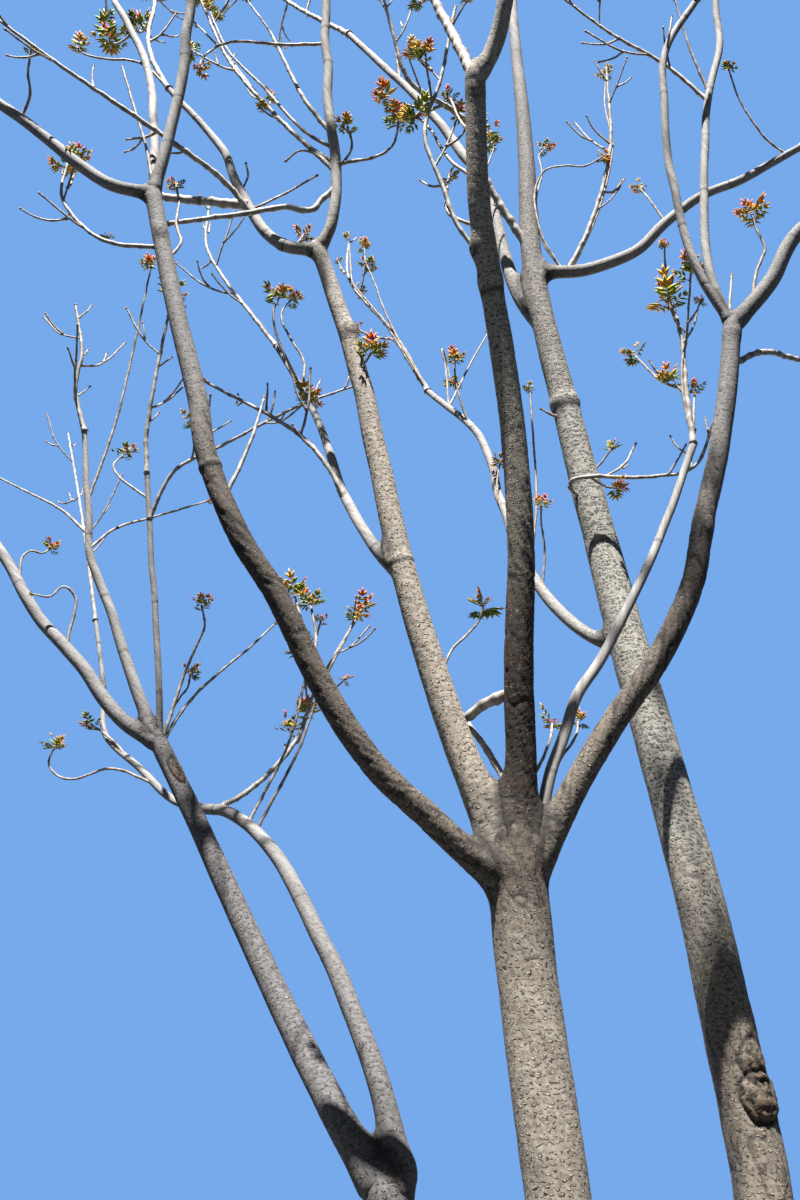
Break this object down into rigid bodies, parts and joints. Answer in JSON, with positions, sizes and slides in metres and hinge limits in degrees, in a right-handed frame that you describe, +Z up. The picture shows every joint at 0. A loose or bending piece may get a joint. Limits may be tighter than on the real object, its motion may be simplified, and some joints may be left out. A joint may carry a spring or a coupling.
{
  "type": "tree of heaven",
  "caption": "Whole tree of heaven in early spring: leaning stems from one root crown, forked boughs and sprays of stout twigs that end in small reddish leaf tufts.",
  "frame": {"origin": "middle of the flat cut under the main trunk, at ground level", "axes": "+Z up along the trunk; the tree is seen from -Y, with +X to the viewer's right"},
  "size_m": [6.4766, 3.9051, 9.8049],
  "materials": {
    "brown_bark": "grey-brown bark, speckled, with fine upright fissures",
    "pale_bark": "pale grey smooth bark with dark pores in rows",
    "young_twigs": "pale stout twigs with tufts of bronze, orange and green young leaves"
  },
  "bodies": {
    "root": {"trunk": "brown_bark", "left_foot": "pale_bark", "right_stem": "pale_bark", "right_top": "pale_bark", "bough_a": "brown_bark", "bough_b": "brown_bark", "bough_c": "brown_bark", "bough_d": "pale_bark", "bough_e": "brown_bark", "left_outer": "pale_bark", "left_inner": "pale_bark", "bough_a_left": "pale_bark", "bough_a_front": "pale_bark", "bough_a_back": "pale_bark", "bough_b_left": "pale_bark", "bough_b_top": "pale_bark", "bough_k": "pale_bark", "bough_c_top": "pale_bark", "bough_e_right": "pale_bark", "bough_e_top": "pale_bark", "bough_e_front": "pale_bark", "bough_f_right": "pale_bark", "bough_f_back": "pale_bark", "bough_f_left": "pale_bark", "bough_g_left": "pale_bark", "bough_g_top": "pale_bark", "bough_g_right": "pale_bark", "bough_h_left": "pale_bark", "spray_a_left": "young_twigs", "spray_a_front": "young_twigs", "spray_a_back": "young_twigs", "spray_a_side": "young_twigs", "spray_b_left": "young_twigs", "spray_b_cross": "young_twigs", "spray_b_top": "young_twigs", "spray_b_up": "young_twigs", "spray_k": "young_twigs", "spray_k_side": "young_twigs", "spray_c_top": "young_twigs", "spray_c_left": "young_twigs", "spray_c_side": "young_twigs", "spray_d": "young_twigs", "spray_e_right": "young_twigs", "spray_e_top": "young_twigs", "spray_e_up": "young_twigs", "spray_e_front": "young_twigs", "spray_e_side": "young_twigs", "spray_f_right": "young_twigs", "spray_f_up": "young_twigs", "spray_f_back": "young_twigs", "spray_f_left": "young_twigs", "spray_f_mid": "young_twigs", "spray_top": "young_twigs", "spray_f_low": "young_twigs", "spray_g_left": "young_twigs", "spray_g_top": "young_twigs", "spray_g_right": "young_twigs", "spray_g_side": "young_twigs", "spray_h_left": "young_twigs", "spray_h_right": "young_twigs"}
  },
  "joints": []
}
